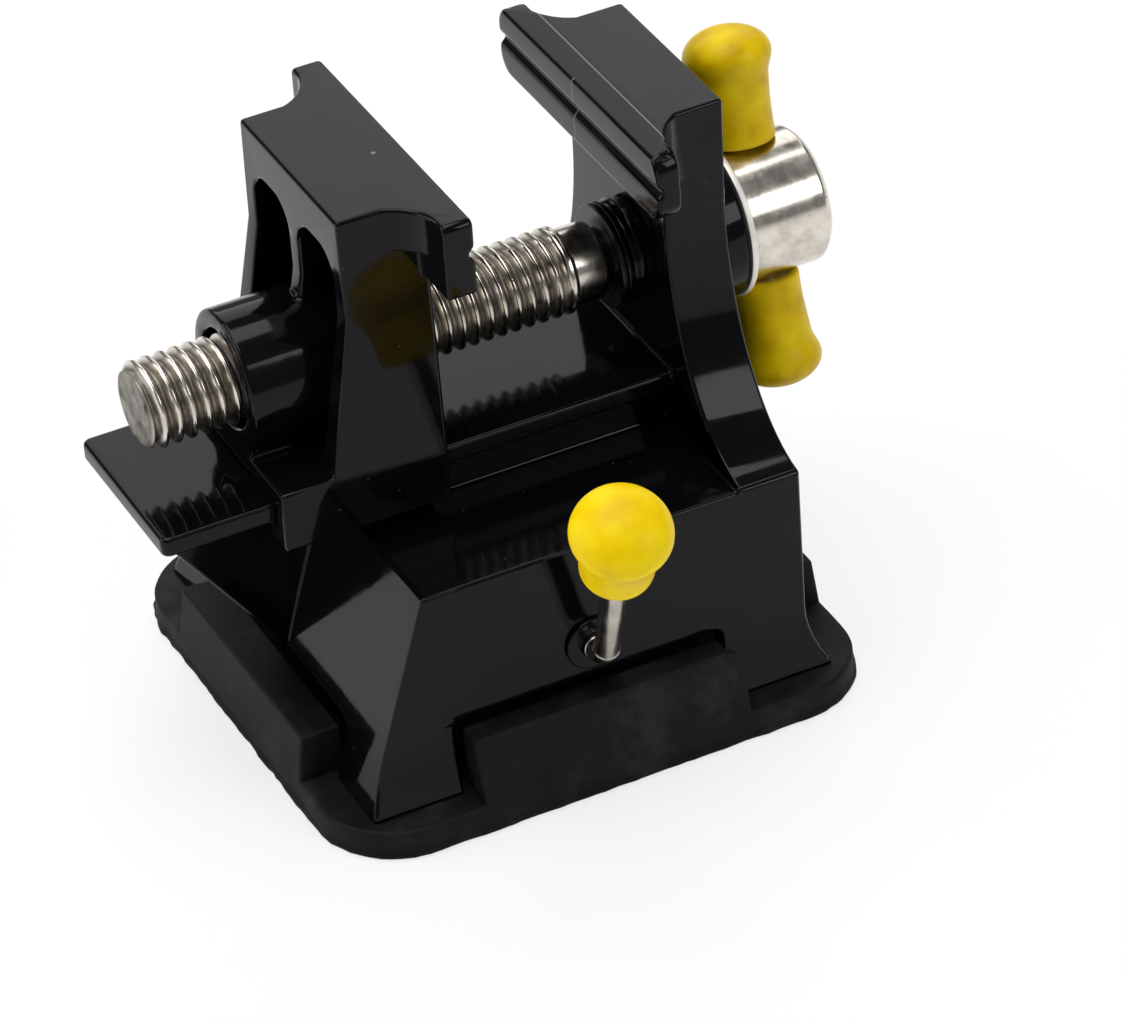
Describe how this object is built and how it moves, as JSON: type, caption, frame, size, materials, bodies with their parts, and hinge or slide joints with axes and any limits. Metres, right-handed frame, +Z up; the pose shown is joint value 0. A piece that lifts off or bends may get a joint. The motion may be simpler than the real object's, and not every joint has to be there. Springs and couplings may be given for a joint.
{
  "type": "small bench vise with a suction base",
  "caption": "Small plastic bench vise: suction base with a cam lever, rail-guided sliding jaw, steel lead screw and a capped cross-bar handle.",
  "frame": {"origin": "centre of the rubber pad's underside, on the surface that the vise stands on", "axes": "+X along the lead screw towards the cross-bar handle, +Y away from the suction lever, +Z up"},
  "size_m": [0.0746, 0.07, 0.0621],
  "materials": {
    "black_moulding": "glossy injection-moulded black plastic with faint flow marks",
    "pad_rubber": "matte black moulded rubber",
    "yellow_vinyl": "dipped yellow vinyl, satin gloss",
    "mustard_vinyl": "dipped mustard-yellow vinyl, satin gloss",
    "nickel_steel": "nickel-plated turned steel with light handling scratches",
    "plain_steel": "zinc-plated pressed steel",
    "dark_steel": "black-oxide spring steel"
  },
  "bodies": {
    "base": {"base_body": "black_moulding", "suction_pad": "pad_rubber", "suction_diaphragm": "pad_rubber", "lever_bush": "black_moulding"},
    "jaw": {"moving_jaw": "black_moulding", "jaw_nut": "plain_steel"},
    "screw": {"lead_screw": "nickel_steel", "retaining_ring": "dark_steel", "inner_washer": "dark_steel", "thrust_washer": "nickel_steel", "screw_hub": "nickel_steel", "cross_bar": "nickel_steel", "upper_bar_cap": "mustard_vinyl", "lower_bar_cap": "mustard_vinyl"},
    "lever": {"lever_rod": "nickel_steel", "lever_knob": "yellow_vinyl", "cam": "plain_steel", "cam_pin": "plain_steel", "shaft_clip": "dark_steel"},
    "stem": {"pull_yoke": "plain_steel", "pull_stem": "plain_steel", "stem_nut": "plain_steel", "stem_plate": "plain_steel"}
  },
  "joints": [
    {"name": "screw_turn", "type": "hinge", "parent": "base", "child": "screw", "pos_m": [0, 0, 0.04145], "axis": [-1, 0, 0], "range_deg": [-2640, 4548]},
    {"name": "jaw_slide", "type": "slide", "parent": "base", "child": "jaw", "axis": [1, 0, 0], "range_m": [-0.011, 0.01895]},
    {"name": "lever_swing", "type": "hinge", "parent": "base", "child": "lever", "pos_m": [-0.0005, 0, 0.0148], "axis": [0, 1, 0], "range_deg": [0, 95]},
    {"name": "stem_lift", "type": "slide", "parent": "base", "child": "stem", "axis": [0, 0, 1], "range_m": [0, 0.0031], "deforming": ["suction_diaphragm"]}
  ],
  "couplings": [
    {"joint": "jaw_slide", "follows": "screw_turn", "m_per_rad": 0.00023873},
    {"joint": "lever_swing", "follows": "stem_lift", "rad_per_m": 535.38}
  ]
}
